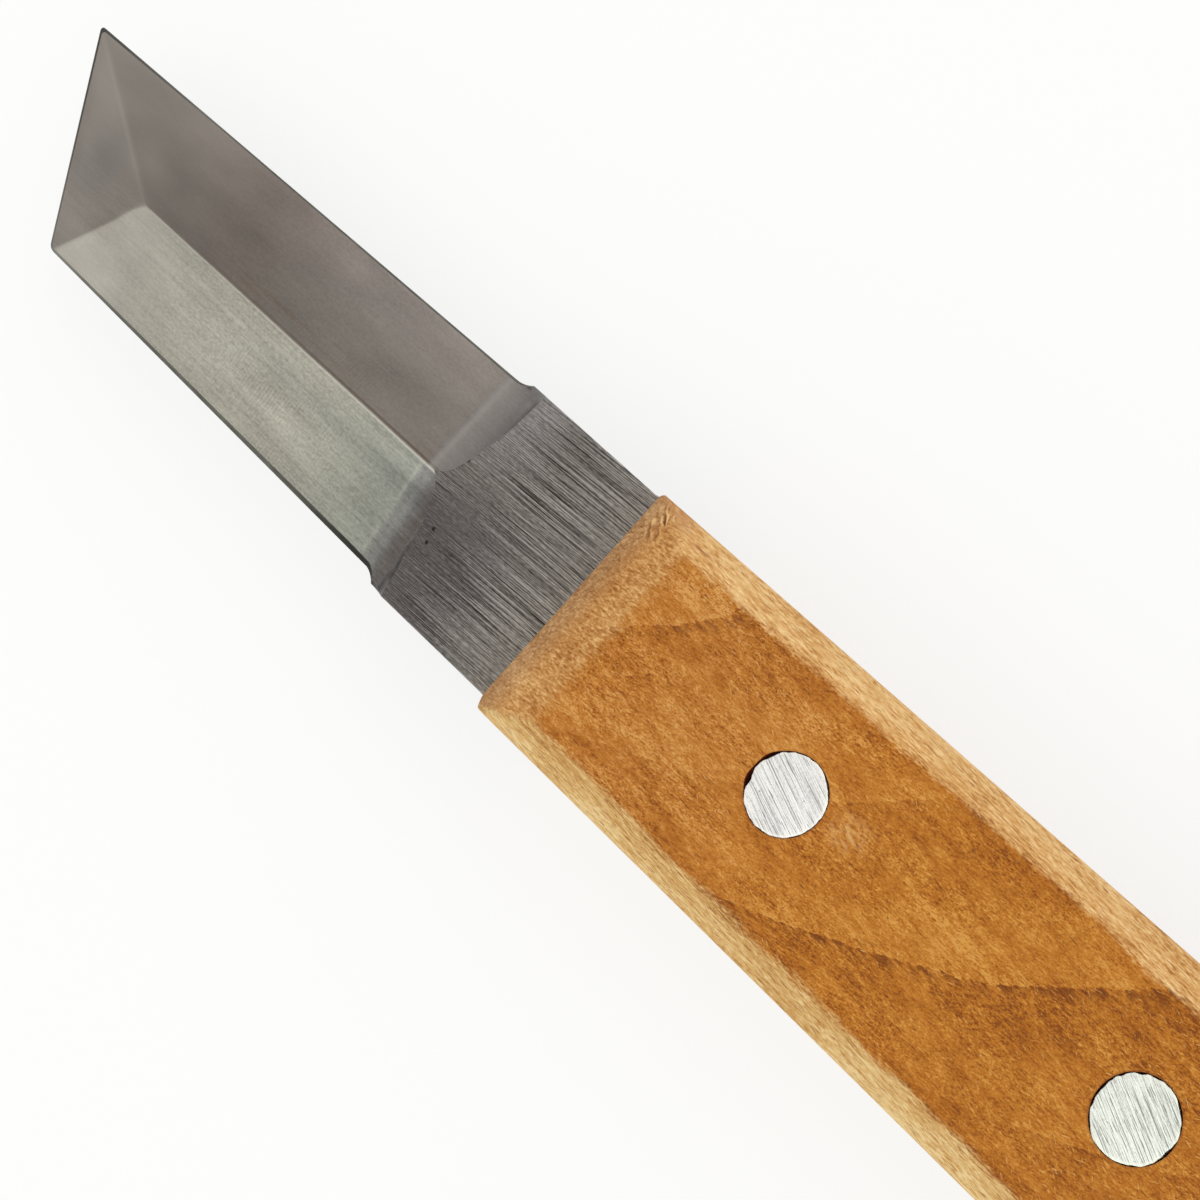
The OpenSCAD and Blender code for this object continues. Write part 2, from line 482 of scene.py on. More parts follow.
def make_scale(name, side_z, seed, material):
    """One scale as a closed shell: bevelled outer surface, sides and the flat that lies on the tang."""
    round_end = [0, 0.03, 0.08, 0.15, 0.25, 0.35]
    round_side = [0, 0.03, 0.08, 0.15, 0.24]
    from_end = np.array([*round_end, *np.arange(0.45, 3.4, 0.12), *np.arange(3.6, 8, 0.3)])
    middle = np.arange(8.4, HANDLE_L - 8.2, 0.6)
    from_side = np.array([*round_side, *np.arange(0.36, 3.2, 0.12)])
    inner = np.linspace(0, 1, 26)[1:-1]
    top = []
    for x in -np.array([*from_end, *middle, *(HANDLE_L - from_end[::-1])]):
        low, high = -handle_half(x, EDGE), handle_half(x, SPINE)
        low_side, high_side = low + from_side, high - from_side[::-1]
        across = [*low_side, *lerp(low_side[-1], high_side[0], inner), *high_side]
        shy = FRONT_SHY * np.clip(1 + x / END_BEVEL, 0, 1)
        top.append([(x - shy, y, scale_top(x, y, y - low, high - y, seed)) for y in across])
    top = np.array(top)
    base = top * [1, 1, 0] + [0, 0, HALF_STEEL]
    shell = Shell()
    flip = np.array([1, 1, side_z])
    shell.add_grid(top * flip)
    shell.add_grid(base * flip)
    sides = [(top[:, 0], base[:, 0]), (top[:, -1], base[:, -1])]
    ends = [(top[0], base[0]), (top[-1], base[-1])]
    for rim, foot in sides + ends:
        shell.add_grid(np.stack([lerp(rim, foot, share) for share in np.linspace(0, 1, 8)]) * flip)
    return shell.make(name, [material], WOOD_SHARP)


# Rivets

RIM_STEPS = 180
RIM_ANGLES = [2 * math.pi * step / RIM_STEPS for step in range(RIM_STEPS)]


def rivet_place(index):
    """Centre and radius of a rivet's solid."""
    low, high = box_mm(RIVETS[index])
    return (low + high) / 2 - HOME, (high[0] - low[0]) / 2


def rim_radius(angle, radius, rough, seed):
    """Radius of an uneven rim."""
    x, y = math.cos(angle), math.sin(angle)
    return radius + rough * (uneven(2 * x, 2 * y, seed) + 0.8 * uneven(7 * x, 7 * y, seed + 7))


def dents(angle, marks):
    """Depth at an angle of marks around a rim."""
    depth = 0
    for at, width, deep in marks:
        off = (math.degrees(angle) - at + 180) % 360 - 180
        depth += deep * math.exp(-((off / width) ** 2))
    return depth


def ring_at(centre, rim, share, z):
    """Closed ring of points around a rivet's axis, at a share of its rim."""
    ring = []
    for radius, angle in zip(rim, RIM_ANGLES):
        reach = share * radius
        ring.append((centre[0] + reach * math.cos(angle), centre[1] + reach * math.sin(angle), z))
    return ring + ring[:1]


def make_rivet(index, material):
    """Rod ground flush at both ends, with a chipped rim where the file dragged it."""
    centre, radius = rivet_place(index)
    profile = [(0, 0), (0.5, 0), (0.8, 0), (0.95, 0.004), (0.985, 0.015), (1, 0.05), (1, 1.2)]
    rings = []
    for end in (1, -1):
        seed = 30 + 5 * index + end
        rim = [
            rim_radius(angle, radius - RIM_SHY, RIM_ROUGH, seed) - dents(end * angle, RIM_CHIPS[index])
            for angle in RIM_ANGLES
        ]
        for share, drop in profile[::end]:
            rings.append(ring_at(centre, rim, share, end * (HALF_T + RIVET_PROUD - drop)))
    shell = Shell()
    shell.add_grid(np.array(rings))
    return shell.make(RIVETS[index] + "_rod", [material], RIVET_SHARP)


def cut_rivet_holes(piece, seed, gap, worn, sharp_angle):
    """Drills uneven holes for the rivets through a piece, dented by a share of the marks in the wood."""
    for index in range(len(RIVETS)):
        centre, radius = rivet_place(index)
        rim = []
        for angle in RIM_ANGLES:
            drilled = rim_radius(angle, radius + gap, HOLE_ROUGH, seed + 3 * index)
            rim.append(drilled + worn * dents(angle, HOLE_DENTS[index]))
        corners = ((0, -2), (1, -2), (1, 2), (0, 2))
        shell = Shell()
        shell.add_grid(np.array([ring_at(centre, rim, share, z * HALF_T) for share, z in corners]))
        drill = shell.make("drill", [], sharp_angle)
        cut = piece.modifiers.new("hole", "BOOLEAN")
        cut.operation = "DIFFERENCE"
        cut.solver = "EXACT"
        cut.object = drill
        bpy.context.view_layer.objects.active = piece
        bpy.ops.object.modifier_apply(modifier=cut.name)
        bpy.data.objects.remove(drill)
    shade(piece.data, sharp_angle)


# Materials


def srgb(red, green, blue):
    """Linear colour of an 8-bit screen colour."""
    def linear(value):
        share = value / 255
        return share / 12.92 if share <= 0.04045 else ((share + 0.055) / 1.055) ** 2.4
    return (linear(red), linear(green), linear(blue), 1.0)


class Shader:
    """A node tree, with short ways to add nodes and join them."""

    def __init__(self, owner, shift=(0, 0, 0)):
        owner.use_nodes = True
        self.owner = owner
        self.tree = owner.node_tree
        self.tree.nodes.clear()
        self.shift = Vector(shift)

    def use_place(self):
        """Makes the position in millimetres from the front of the handle available."""
        at = self.add("ShaderNodeTexCoord").outputs["Object"]
        inputs = {"Vector": at, "Location": -Vector(HOME), "Scale": Vector((1, 1, 1)) / MM}
        self.place = self.add("ShaderNodeMapping", inputs).outputs[0]
        self.x, self.y, self.z = self.add("ShaderNodeSeparateXYZ", {0: self.place}).outputs

    def facing(self):
        """The three parts of the surface's direction."""
        direction = self.add("ShaderNodeNewGeometry").outputs["Normal"]
        return self.add("ShaderNodeSeparateXYZ", {0: direction}).outputs

    def add(self, kind, inputs=None, **settings):
        made = self.tree.nodes.new(kind)
        for key, value in settings.items():
            setattr(made, key, value)
        for key, value in (inputs or {}).items():
            self.set(made.inputs[key], value)
        return made

    def set(self, socket, value):
        if isinstance(value, bpy.types.NodeSocket):
            self.tree.links.new(value, socket)
        else:
            socket.default_value = value

    def math(self, operation, a, b=0.0):
        return self.add("ShaderNodeMath", {0: a, 1: b}, operation=operation).outputs[0]

    def sum(self, first, *terms):
        """Adds terms, each a value and its weight, to a first value."""
        for value, weight in terms:
            inputs = {0: value, 1: weight, 2: first}
            first = self.add("ShaderNodeMath", inputs, operation="MULTIPLY_ADD").outputs[0]
        return first

    def product(self, first, *factors):
        for factor in factors:
            first = self.math("MULTIPLY", first, factor)
        return first

    def remap(self, value, low, high, to_low=0.0, to_high=1.0):
        """Smooth step from one value to another between two limits."""
        inputs = {"Value": value, "From Min": low, "From Max": high, "To Min": to_low, "To Max": to_high}
        return self.add("ShaderNodeMapRange", inputs, interpolation_type="SMOOTHSTEP").outputs[0]

    def bell(self, value, middle, width):
        """Smooth hump around a value."""
        off = self.math("ABSOLUTE", self.math("SUBTRACT", value, middle))
        return self.remap(off, 0, width, 1, 0)

    def cells(self, size, turn=0.0, shift=(0, 0, 0)):
        """Position counted in cells of a size in millimetres, turned about the vertical by degrees."""
        inputs = {
            "Vector": self.place,
            "Location": self.shift + Vector(shift),
            "Rotation": (0, 0, math.radians(turn)),
            "Scale": size,
        }
        return self.add("ShaderNodeMapping", inputs, vector_type="TEXTURE").outputs[0]

    def bent(self, vector, amount):
        """Position in cells, moved across them by an amount."""
        across = self.add("ShaderNodeCombineXYZ", {1: amount}).outputs[0]
        return self.add("ShaderNodeVectorMath", {0: vector, 1: across}, operation="ADD").outputs[0]

    def noise(self, vector, detail=2.0, rough=0.5, distortion=0.0):
        """Noise around 0, from about -0.5 to 0.5."""
        inputs = {"Vector": vector, "Scale": 1.0, "Detail": detail}
        inputs |= {"Roughness": rough, "Distortion": distortion}
        return self.math("SUBTRACT", self.add("ShaderNodeTexNoise", inputs).outputs["Fac"], 0.5)

    def patches(self, size, low, high, turn=0.0, shift=(0, 0, 0)):
        """Soft spots, where a noise rises from a low to a high limit."""
        return self.remap(self.noise(self.cells(size, turn, shift), 1), low, high)

    def distance(self, point):
        """Distance of the position from a point."""
        inputs = {0: self.place, 1: point}
        return self.add("ShaderNodeVectorMath", inputs, operation="DISTANCE").outputs["Value"]

    def opposite(self, share):
        return self.math("SUBTRACT", 1, share)

    def mix(self, share, a, b, blend="MIX"):
        made = self.add("ShaderNodeMix", data_type="RGBA", blend_type=blend)
        for index, value in ((0, share), (6, a), (7, b)):
            self.set(made.inputs[index], value)
        return made.outputs[2]

    def ramp(self, value, *colours):
        """Even steps through colours as a value goes from 0 to 1."""
        made = self.add("ShaderNodeValToRGB", {0: value})
        stops = made.color_ramp.elements
        for _ in colours[2:]:
            stops.new(0.5)
        for index, colour in enumerate(colours):
            stops[index].position = index / (len(colours) - 1)
            stops[index].color = colour
        return made.outputs[0]

    def bump(self, height, depth):
        """Normal of a surface whose relief is a height from 0 to 1 times a depth in millimetres."""
        return self.add("ShaderNodeBump", {"Height": height, "Distance": depth * MM}).outputs[0]

    def surface(self, **inputs):
        """Ends a material with a principled shader; underscores in the names stand for spaces."""
        named = {key.replace("_", " "): value for key, value in inputs.items()}
        shader = self.add("ShaderNodeBsdfPrincipled", named)
        self.add("ShaderNodeOutputMaterial", {"Surface": shader.outputs[0]})
        return self.owner


def new_shader(name, shift=(0, 0, 0)):
    shader = Shader(bpy.data.materials.new(name), shift)
    shader.use_place()
    return shader


def crease(s, start, end, width):
    """Thin band along a line in the plan."""
    run = unit(np.subtract(end, start))
    offset = s.sum(run[1] * start[0] - run[0] * start[1], (s.x, -run[1]), (s.y, run[0]))
    return s.bell(offset, 0, width)


def grinding_marks(s):
    """Streaks along the ground faces, and all their marks: streaks, grit and cross marks of the wheel."""
    plain = s.remap(s.x, 38, 52, 1, 0.35)
    streak_share = s.remap(s.y, -0.1, 0.2, 0.25, 1.0)
    grit_share = s.remap(s.y, -0.1, 0.2, 0.6, 1.2)
    streak = s.product(s.noise(s.cells((8, 0.24, 2)), 2, 0.6), streak_share, plain)
    grit = s.product(s.noise(s.cells((0.34, 0.16, 0.3)), 2), grit_share, plain)
    sway = s.noise(s.cells((3, 1.5, 2)))
    wave = s.math("SINE", s.sum(s.product(s.x, 2 * math.pi / CROSS_PITCH), (sway, 3)))
    cross_at = s.sum(s.remap(s.y, 1, 4), (s.bell(s.y, -1.3, 1.6), 0.7))
    cross_at = s.product(cross_at, s.bell(s.x, 30, 13), s.patches((4, 1.2, 2), -0.12, 0.12))
    return streak, s.sum(streak, (s.product(wave, cross_at), 0.11), (grit, 0.9))


def heel_painted_shading(s, heel, edge_side, spine_side):
    """Painted shade and painted light on the heel and on the curve behind it: the parts, with the factor
    that tints each.
    """
    facing_tip, _, _ = s.facing()
    from_middle = s.math("ABSOLUTE", s.y)
    spine_heel = s.product(s.remap(heel, 0.5, 13, 1, 0), s.remap(heel, -1.2, -0.5), spine_side)
    spine_band = s.product(s.remap(heel, 0.4, 1.2, 1, 0), spine_side)
    edge_band = s.product(s.remap(heel, 0.6, 0.85, 1, 0), edge_side)
    edge_curve = s.product(s.remap(heel, 0.2, -1.6), edge_side)
    curve = s.product(s.remap(facing_tip, 0.3, 0.66), s.remap(s.y, -0.1, 0.2, 1, 0.4))
    rim_ends = s.product(s.remap(facing_tip, 0.42, 0.58), s.remap(from_middle, 8.4, 9))
    spine_rim = s.product(s.remap(facing_tip, 0.4, 0.52), s.remap(s.y, 4, 8))
    spine_rim_end = s.product(s.remap(facing_tip, 0.48, 0.56), s.remap(s.y, 7.2, 8.2))
    edge_notch = s.product(s.bell(s.x, 15.7, 0.6), s.bell(s.y, -9.5, 0.32))
    # Each row is painted shade or painted light: the curve, the rim ends and the notch darker, the bands at
    # the heel darker or lighter
    return [
        (spine_heel, (0.69, 0.73, 0.75, 1)),
        (spine_band, (0.77, 0.74, 0.8, 1)),
        (edge_band, (1.02, 1.05, 1.12, 1)),
        (edge_curve, (1.05, 1.05, 1.06, 1)),
        (curve, (0.62, 0.61, 0.6, 1)),
        (rim_ends, (0.6, 0.6, 0.6, 1)),
        (spine_rim, (0.68, 0.69, 0.71, 1)),
        (spine_rim_end, (0.38, 0.365, 0.35, 1)),
        (edge_notch, (0.35, 0.35, 0.35, 1)),
    ]


def face_tone_and_painted_shading(s, heel, off_ridge, edge_side, spine_side):
    """Parts of the ground faces, with the factor that tints each: painted shade and painted light, and warm
    patches of random tone by the ridge.
    """
    spine_face_back = s.product(s.remap(s.x, 40, 50, 1, 0), spine_side)
    spine_dip = s.product(s.bell(s.x, 47, 6), spine_side)
    dim_strip = s.product(s.bell(s.y, 2.5, 1.6), s.remap(s.x, 31, 38, 1, 0), spine_side)
    bright_strip = s.product(s.bell(s.y, 0.9, 1.2), s.remap(s.x, 18, 24, 1, 0), spine_side)
    by_spine = s.product(s.remap(s.y, 5.2, 7.6), s.remap(s.x, 19, 23))
    edge_dip = s.product(s.bell(s.x, 43, 13), edge_side)
    by_edge = s.product(s.remap(s.y, -3, -8.8), s.remap(s.x, 50, 58, 1, 0), s.remap(heel, -2, 3))
    end_spot = s.product(s.bell(s.x, 58.5, 4), s.bell(s.y, 0, 4.5))
    warm = s.product(s.patches((6, 0.5, 2), 0, 0.2), s.remap(s.x, 40, 50, 1, 0))
    warm_ridge = s.product(s.bell(off_ridge, -1, 1.4), warm, edge_side)
    under_ridge = s.product(s.bell(off_ridge, -0.16, 0.16), s.remap(s.x, 20, 49, 1, 0))
    # All rows but warm_ridge are painted shade or painted light on the faces; warm_ridge is random tone
    return [
        (spine_face_back, (0.89, 0.92, 0.88, 1)),
        (spine_dip, (0.93, 0.94, 0.93, 1)),
        (dim_strip, (0.86, 0.87, 0.89, 1)),
        (bright_strip, (1.18, 1.16, 1.18, 1)),
        (by_spine, (0.88, 0.87, 0.88, 1)),
        (edge_dip, (0.83, 0.8, 0.79, 1)),
        (by_edge, (1.36, 1.34, 1.37, 1)),
        (end_spot, (0.76, 0.78, 0.82, 1)),
        (warm_ridge, (0.97, 0.91, 0.86, 1)),
        (under_ridge, (0.62, 0.54, 0.48, 1)),
    ]


def painted_highlights(s, heel, off_ridge, edge_side, spine_side):
    """Painted highlights on the ground faces: along the creases, in the band at the heel and at the end of
    the point.
    """
    beyond = s.remap(s.x, RIDGE_END[0] - 0.4, RIDGE_END[0])
    before = s.remap(s.x, RIDGE_END[0] - 1, RIDGE_END[0], 1, 0)
    band = s.sum(s.product(s.remap(heel, -2.2, 0.3), 0.28), (s.bell(heel, 0.25, 0.45), 0.22))
    spots = s.patches((2, 0.8, 2), -0.1, 0.15)
    return [
        s.product(band, s.remap(heel, 0.35, 0.75, 1, 0), edge_side),
        s.product(s.bell(heel, 1.1, 0.3), spots, spine_side, 0.16),
        s.product(s.bell(off_ridge, 0.1, 0.13), s.remap(s.x, HEEL, 46, 0.55, 0.28), before),
        s.product(crease(s, RIDGE_END[:2], TIP, 0.45), beyond, s.remap(s.x, 52, 61, 0.12, 0.3)),
        s.product(s.bell(s.x, 54.5, 4.5), s.bell(s.y, -2.6, 2.4), edge_side, 0.32),
        s.product(s.bell(s.x, 56.5, 3), s.remap(s.y, 2.5, 6), 0.15),
        s.product(s.bell(s.x, 53, 5), s.remap(s.y, 4, 7.5), 0.22),
        s.product(s.remap(s.x, 53, 66), s.remap(s.y, -2, 8, 1, 0.7), 0.36),
        s.product(s.remap(s.x, 47, 58), s.remap(s.y, -3, -5.5), 0.18),
    ]


def ground_steel():
    """Satin faces of the point, with faint streaks and cross marks, painted shade and painted light at the
    heel and on the faces, and painted highlights along the creases.
    """
    s = new_shader("ground_steel")
    streak, marks = grinding_marks(s)
    cloud = s.noise(s.cells((7, 3, 5)), 3)
    tone = s.sum(0.5, (marks, 1), (cloud, 0.7))
    colour = s.ramp(tone, srgb(144, 138, 132), srgb(177, 171, 164), srgb(204, 199, 190))
    spine_side = s.remap(s.y, -0.1, 0.2)
    edge_side = s.opposite(spine_side)
    heel = s.sum(-HEEL, (s.x, 1), (s.y, 0.06))
    off_ridge = s.sum(-RIDGE_HEEL[1], (s.y, 1), (s.math("SUBTRACT", s.x, HEEL), -RIDGE_RUN))
    # Painted shade and painted light at the heel and on the faces, with warm patches of random tone by the
    # ridge
    tints = heel_painted_shading(s, heel, edge_side, spine_side)
    tints += face_tone_and_painted_shading(s, heel, off_ridge, edge_side, spine_side)
    for share, tint in tints:
        colour = s.mix(share, colour, tint, "MULTIPLY")
    # Painted highlights, mixed towards a pale steel colour
    for share in painted_highlights(s, heel, off_ridge, edge_side, spine_side):
        colour = s.mix(share, colour, srgb(222, 219, 210))
    rough = s.sum(0.3, (streak, 0.2))
    normal = s.bump(s.sum(0.5, (marks, 0.5)), 0.003)
    return s.surface(Base_Color=colour, Metallic=1.0, Roughness=rough, Normal=normal)


def brushed_steel():
    """Shoulder and tang, with grinding lines that run almost along the blade and fade towards the point,
    painted shade on the spine side of the shoulder and painted light on its edge side.
    """
    s = new_shader("brushed_steel")
    wander = s.product(s.noise(s.cells((8, 3, 3)), 1), 2)
    worn = s.remap(s.noise(s.cells((9, 2.5, 3))), -0.2, 0.2, 0.5, 1.2)
    fade = s.product(s.remap(s.x, 5, 14, 1, 0.55), worn)

    def scratches(length, width, turn, shift):
        return s.noise(s.bent(s.cells((length, width, width), turn, shift), wander), 1)

    lines = s.product(scratches(12, 0.07, 2.5, (0, 0, 0)), fade)
    nicks = s.product(s.remap(scratches(10, 0.08, 2.5, (4, 3, 0)), 0.09, 0.15), fade)
    shine = s.product(s.remap(scratches(6, 0.08, 3, (8, 1, 0)), 0.1, 0.17), fade)
    grit = s.product(s.noise(s.cells((0.5, 0.08, 0.08), 3), 2), s.remap(s.x, 6, 13, 1.1, 0.75))
    cloud = s.noise(s.cells((6, 1.5, 5)), 3)
    tone = s.sum(0.53, (lines, 2.9), (grit, 1.5), (cloud, 0.15), (s.remap(s.x, 1.5, 4.5), -0.07))
    colour = s.ramp(tone, srgb(82, 78, 75), srgb(138, 133, 129), srgb(192, 187, 182))
    colour = s.mix(s.product(shine, 0.5), colour, srgb(206, 202, 198))
    colour = s.mix(s.product(nicks, 0.85), colour, srgb(44, 41, 39))
    # Painted shade on the spine side of the shoulder
    spine_front_painted_shade = s.product(s.remap(s.x, 3, 11), s.remap(s.y, -3, 3))
    colour = s.mix(spine_front_painted_shade, colour, (0.63, 0.62, 0.66, 1), "MULTIPLY")
    # Painted light on the edge side of the shoulder, by the curve
    edge_front_painted_light = s.product(s.remap(s.x, 8, 14), s.remap(s.y, -1, -8))
    colour = s.mix(edge_front_painted_light, colour, (1.4, 1.41, 1.5, 1), "MULTIPLY")
    colour = s.mix(s.remap(s.x, 1, 5, 1, 0), colour, (1.02, 0.98, 0.94, 1), "MULTIPLY")
    for x, y in PITS:
        spot = s.remap(s.sum(s.distance((x, y, HALF_STEEL)), (grit, 0.3)), 0.08, 0.2, 0.9, 0)
        colour = s.mix(spot, colour, srgb(44, 41, 40))
    height = s.sum(0.5, (lines, 0.6), (shine, 0.2), (nicks, -0.5))
    normal = s.bump(height, 0.012)
    return s.surface(Base_Color=colour, Metallic=1.0, Roughness=0.36, Normal=normal)


def dark_steel():
    """Thin edges and notches, dark grey, with painted shade by the spine's heel and painted light towards
    the end.
    """
    s = new_shader("dark_steel")
    patch = s.noise(s.cells((1.5, 0.4, 0.4)), 3, 0.6)
    colour = s.ramp(s.sum(0.5, (patch, 1.5)), srgb(70, 70, 66), srgb(112, 110, 104))
    # Painted shade by the spine's heel, where the notch wall lies
    heel_painted_shade = s.product(s.remap(s.x, 12, 14), s.remap(s.x, 17, 30, 1, 0), s.remap(s.y, 0, 1))
    colour = s.mix(heel_painted_shade, colour, (0.3, 0.3, 0.3, 1), "MULTIPLY")
    # Painted light on the edges towards the end of the point
    bright = s.product(s.remap(s.x, 46, 58, 0, 0.3), s.remap(s.x, 60, 66, 1, 0.5))
    colour = s.mix(bright, colour, srgb(168, 166, 160))
    return s.surface(Base_Color=colour, Metallic=1.0, Roughness=0.4)


def ring_tone(s):
    """Shares for the growth rings: past a ring's pale start, near its dark end, and in the line there."""
    sway = s.noise(s.cells((17, 9, 9)), 2)
    fray = s.noise(s.cells((2.6, 0.3, 0.6)), 2)
    past = s.math("MAXIMUM", s.math("SUBTRACT", s.y, RING_STRAIGHT), 0)
    bow = s.product(past, past, -RING_BOW)
    short = s.math("MINIMUM", s.math("SUBTRACT", s.y, RING_STEEP), 0)
    steep = s.product(short, short, s.remap(s.x, -24, -16), -RING_BEND)
    along = s.sum(bow, (steep, 1), (s.x, 1), (s.y, -1 / RING_SLOPE), (s.z, 0.3), (sway, 3), (fray, 1.1))
    turns = s.product(s.math("SUBTRACT", along, RING_AT + 0.3 * HALF_T), 1 / RING_PITCH)
    phase = s.math("FRACT", turns)
    sharp = s.remap(s.math("COSINE", s.product(turns, math.pi)), -1, 1, 0.5, 1)
    sharp = s.product(sharp, s.remap(s.x, -26, -10, 1, 0.85))
    fresh = s.remap(phase, 0, 0.06)
    late = s.product(s.remap(phase, 0.2, 1), sharp)
    line = s.product(s.remap(phase, 0.9, 0.985), sharp, sharp)
    return fresh, late, line


def flat_wood(s, mottle, grain):
    """Colour of the flat: orange brown, with growth rings, dark dashes, short pale fibres and small painted
    highlights.
    """
    fresh, late, line = ring_tone(s)
    flame = s.noise(s.cells((3, 0.8, 1), -6), 3, 0.6)
    fuzz = s.noise(s.cells((0.17, 0.11, 0.2), 5), 1)
    coarse = s.remap(s.noise(s.cells((7, 2.5, 2), 8, (2, 6, 0)), 2), -0.14, 0.14, 0.75, 1.25)
    texture = s.product(s.sum(grain, (fuzz, 0.8)), coarse)
    beside_bevel = s.remap(s.math("ABSOLUTE", s.y), 6.2, 8.0)
    towards_butt = s.remap(s.x, -60, -25, 1, 0)
    shade = s.sum(s.product(late, 0.24), (beside_bevel, 0.12), (towards_butt, 0.14), (fresh, 0.06))
    blot = s.product(s.noise(s.cells((1.5, 0.5, 0.6), -4), 2, 0.6), s.sum(0.6, (late, 0.6)))
    tone = s.sum(0.71, (mottle, 0.8), (flame, 1), (blot, 0.6), (texture, 1), (shade, -1))
    colour = s.ramp(tone, srgb(128, 66, 12), srgb(168, 98, 25), srgb(190, 121, 46), srgb(212, 152, 79))
    breaks = s.patches((1.7, 0.32, 0.6), -0.06, 0.14)
    colour = s.mix(s.product(line, breaks, 0.75), colour, srgb(106, 50, 14))
    pore = s.patches((0.3, 0.11, 0.3), 0.15, 0.22, 3)
    colour = s.mix(s.product(pore, coarse, 0.8), colour, srgb(126, 66, 20))
    # Small painted highlights among the pores
    pore_painted_highlight = s.patches((0.26, 0.11, 0.3), 0.16, 0.23, 6, (3, 7, 0))
    colour = s.mix(s.product(pore_painted_highlight, coarse, 0.4), colour, srgb(220, 162, 94))
    cut = s.patches((1.2, 0.13, 0.4), 0.22, 0.28, -3, (9, 2, 0))
    colour = s.mix(s.product(cut, 0.8), colour, srgb(104, 52, 16))
    tufts = s.patches((6, 3, 3), 0, 0.2, 20, (5, 1, 0))
    woolly = s.math("MAXIMUM", tufts, s.remap(s.x, -42, -54, 0.3, 0.9))
    for turn in (-34, -12, 20):
        curl = s.noise(s.cells((0.9, 0.13, 0.3), turn, (turn, 4, 0)), 1, 0.5, 0.35)
        strand = s.product(s.remap(curl, 0.19, 0.25), woolly)
        colour = s.mix(s.product(strand, 0.7), colour, srgb(226, 172, 108))
    colour = s.mix(s.remap(s.x, -20, -34), colour, (0.98, 0.97, 0.8, 1), "MULTIPLY")
    return s.mix(s.remap(s.x, -26, -14), colour, (0.98, 1, 1.15, 1), "MULTIPLY")


def bevel_wood(s, mottle, grain):
    """Colour of the long bevels: pale and fibrous, paler towards the outside, duller along the spine."""
    streak = s.noise(s.cells((4, 0.36, 0.36), -4), 3, 0.6)
    fibre = s.noise(s.cells((1.0, 0.125, 0.125), -8), 2, 0.6)
    coarse = s.remap(s.noise(s.cells((3, 0.9, 0.9)), 2), -0.14, 0.14, 0.75, 1.25)
    height = s.math("ABSOLUTE", s.z)
    outward = s.remap(height, HALF_T - EDGE_BEVEL, HALF_T, 1, 0)
    inward = s.remap(height, HALF_T - EDGE_BEVEL, HALF_T)
    edge_side = s.remap(s.y, 1, -1)
    fine = s.product(s.sum(s.product(fibre, 1.6), (grain, 0.7)), coarse)
    tone = s.sum(0.52, (streak, 1.25), (fine, 1), (mottle, 0.8), (outward, 0.2))
    colour = s.ramp(tone, srgb(160, 102, 44), srgb(208, 158, 95), srgb(234, 200, 146))
    dash = s.patches((1.6, 0.1, 0.1), 0.14, 0.21, -5)
    colour = s.mix(s.product(dash, 0.8), colour, srgb(142, 86, 38))
    colour = s.mix(s.remap(s.y, -1, 1), colour, (0.912, 0.944, 0.93, 1), "MULTIPLY")
    colour = s.mix(s.product(edge_side, inward), colour, (1.08, 1.045, 1.045, 1), "MULTIPLY")
    colour = s.mix(s.product(edge_side, outward), colour, (0.965, 0.91, 0.87, 1), "MULTIPLY")
    torn = s.patches((1.5, 0.3, 0.4), -0.2, 0.0)
    stain = s.product(s.bell(s.x, -6.3, 1.9), s.bell(s.y, -9.05, 0.26), torn)
    colour = s.mix(s.product(stain, 0.9), colour, srgb(160, 88, 32))
    crushed = s.product(s.remap(s.x, -5.5, -3), s.remap(s.y, -8.6, -9.3))
    return s.mix(s.product(crushed, 0.6), colour, srgb(178, 116, 72))


def end_wood(s, to_end, mottle, grain):
    """Colour of the end bevels: fibrous and pale where they meet the flat, woolly and duller at the end."""
    fibre = s.noise(s.cells((1.1, 0.17, 0.3), 7), 2, 0.6, 0.4)
    wool = s.noise(s.cells((0.45, 0.25, 0.3), 60), 2, 0.55, 0.8)
    woolly = s.remap(to_end, 1.2, 3.6, 0.85, 0)
    plain = s.product(fibre, s.opposite(woolly))
    relief = s.sum(s.product(wool, woolly), (plain, 1), (fibre, 0.3))
    tone = s.sum(0.5, (relief, 1.6), (mottle, 0.8), (grain, 0.5))
    inner = s.ramp(tone, srgb(156, 90, 36), srgb(200, 143, 81), srgb(236, 190, 130))
    outer = s.ramp(tone, srgb(132, 86, 48), srgb(178, 132, 88), srgb(214, 174, 128))
    return s.mix(s.remap(to_end, 0.6, 3.4, 1, 0), inner, outer), relief


def splinter_painted_shading(s, colour):
    """Painted shade in the grooves and painted highlights on the ridges where the fibres at a front corner
    were crushed.
    """
    near = s.remap(s.distance((*SPLINTER_AT, HALF_T - 1.5)), 0.6, 2.2, 1, 0)
    sway = s.noise(s.cells((0.8, 0.8, 0.8)), 2)
    along = s.sum(s.product(s.x, SPLINTER_RUN[0]), (s.y, SPLINTER_RUN[1]), (sway, 1.2))
    wave = s.math("SINE", s.product(along, 2 * math.pi / SPLINTER_PITCH))
    broken = s.patches((1.3, 0.8, 0.9), -0.07, 0.1, -43)
    colour = s.mix(s.product(s.remap(wave, -0.3, -0.9), near, broken, 0.95), colour, srgb(108, 60, 27))
    return s.mix(s.product(s.remap(wave, 0.1, 0.8), near, broken, 0.95), colour, srgb(238, 200, 142))


